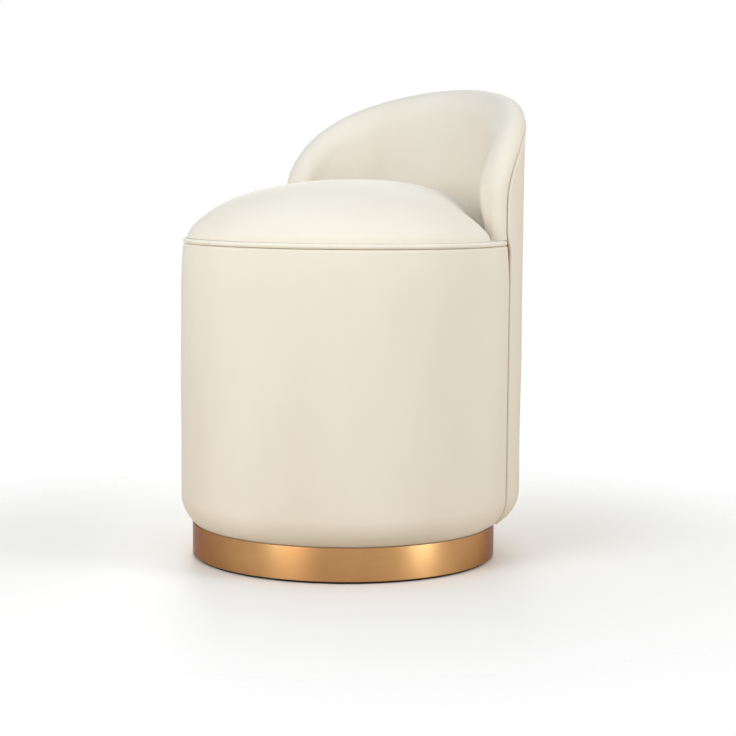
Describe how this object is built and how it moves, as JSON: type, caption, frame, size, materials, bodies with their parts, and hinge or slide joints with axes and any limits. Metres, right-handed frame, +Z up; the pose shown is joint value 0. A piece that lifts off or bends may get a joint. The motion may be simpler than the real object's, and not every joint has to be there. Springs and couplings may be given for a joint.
{
  "type": "pouf",
  "caption": "Round upholstered pouf with a crowned, piped seat, a low padded back that wraps the rear, and a metal-banded plinth, for sitting at a dressing table.",
  "frame": {"origin": "on the floor, on the axis of the drum and of the plinth", "axes": "+Z up; the front of the seat faces -Y and the back stands at +Y"},
  "size_m": [0.409, 0.452, 0.589],
  "materials": {
    "cover_fabric": "soft, short nap",
    "piping_fabric": "soft, short nap",
    "band_metal": "satin, brushed round",
    "pin_metal": "satin",
    "floor_felt": "matt felt",
    "dust_cloth": "non-woven",
    "fibreboard": "bare fibreboard",
    "plywood": "bare plywood",
    "hardboard": "bare hardboard",
    "pine": "bare sawn pine",
    "foam": "open-cell foam",
    "screw_steel": "zinc plated",
    "staple_steel": "galvanised"
  },
  "bodies": {
    "root": {"seat_cover": "cover_fabric", "drum_cover": "cover_fabric", "back_cover": "cover_fabric", "rear_cover": "cover_fabric", "seat_piping": "piping_fabric", "back_piping": "piping_fabric", "plinth_band": "band_metal", "band_pins": "pin_metal", "floor_ring": "floor_felt", "dust_cover": "dust_cloth", "plinth_lower_board": "fibreboard", "plinth_upper_board": "fibreboard", "plinth_block_1": "fibreboard", "plinth_block_2": "fibreboard", "plinth_block_3": "fibreboard", "plinth_block_4": "fibreboard", "plinth_block_5": "fibreboard", "plinth_block_6": "fibreboard", "base_board": "plywood", "seat_board": "plywood", "back_shelf": "plywood", "back_board": "plywood", "front_wall": "hardboard", "front_post_1": "pine", "front_post_2": "pine", "front_post_3": "pine", "front_post_4": "pine", "front_post_5": "pine", "front_post_6": "pine", "rear_post_1": "pine", "rear_post_2": "pine", "rear_post_3": "pine", "drum_foam": "foam", "rear_foam": "foam", "seat_foam_base": "foam", "seat_foam_crown": "foam", "back_pad": "foam", "plinth_screws": "screw_steel", "base_board_screws": "screw_steel", "seat_board_screws": "screw_steel", "dust_cover_staples": "staple_steel", "cover_staples": "staple_steel"}
  },
  "joints": []
}
